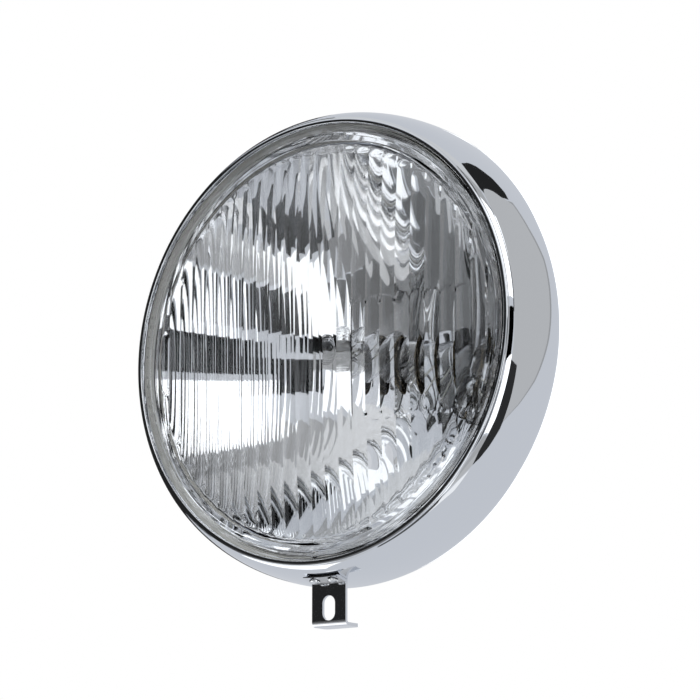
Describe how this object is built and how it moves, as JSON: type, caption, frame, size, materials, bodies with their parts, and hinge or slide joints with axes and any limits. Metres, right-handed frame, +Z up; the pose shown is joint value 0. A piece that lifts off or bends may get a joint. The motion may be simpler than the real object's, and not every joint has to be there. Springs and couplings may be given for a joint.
{
  "type": "motorcycle headlight",
  "caption": "Round motorcycle headlight: deep chrome rim with a slotted bracket, fluted glass lens, mirrored reflector, twin-filament bulb and bayonet holder.",
  "frame": {"origin": "on the lamp's axis, in the plane of the chrome rim's rear edge, where the rim seats on the lamp bowl", "axes": "+Y along the lamp's axis towards the back, so that the lamp shines towards -Y; +Z up, with the slotted bracket at the bottom"},
  "size_m": [0.1778, 0.094, 0.1929],
  "materials": {
    "chrome": "polished chrome plate",
    "bracket_chrome": "polished chrome plate, less deeply polished",
    "rivet_chrome": "bright plated",
    "lens_glass": "clear pressed glass",
    "seal_rubber": "matt sealing ring",
    "reflector_mirror": "vacuum aluminised, bright inside, satin behind",
    "spring_steel": "bright spring wire",
    "brass": "plain brass",
    "black_insulator": "black glassy insulator",
    "solder": "soft solder",
    "bulb_glass": "clear blown glass",
    "stem_glass": "pinched glass",
    "nickel_wire": "nickel wire",
    "tungsten": "tungsten coil",
    "shield_metal": "thin sheet",
    "zinc_steel": "zinc plated sheet",
    "brown_laminate": "phenolic laminate"
  },
  "bodies": {
    "root": {"rim": "chrome", "bracket": "bracket_chrome", "bracket_rivets": "rivet_chrome", "lens": "lens_glass", "lens_seal": "seal_rubber", "reflector": "reflector_mirror", "retaining_clips": "spring_steel", "bulb_cap": "brass", "bulb_insulator": "black_insulator", "bulb_contacts": "solder", "bulb_glass": "bulb_glass", "bulb_stem": "stem_glass", "support_wires": "nickel_wire", "driving_filament": "tungsten", "dipped_filament": "tungsten", "dipping_shield": "shield_metal", "holder_sleeve": "zinc_steel", "holder_disc": "brown_laminate", "contact_rivets": "brass", "holder_spring": "spring_steel", "contact_blades": "brass", "earth_blade": "brass"}
  },
  "joints": []
}
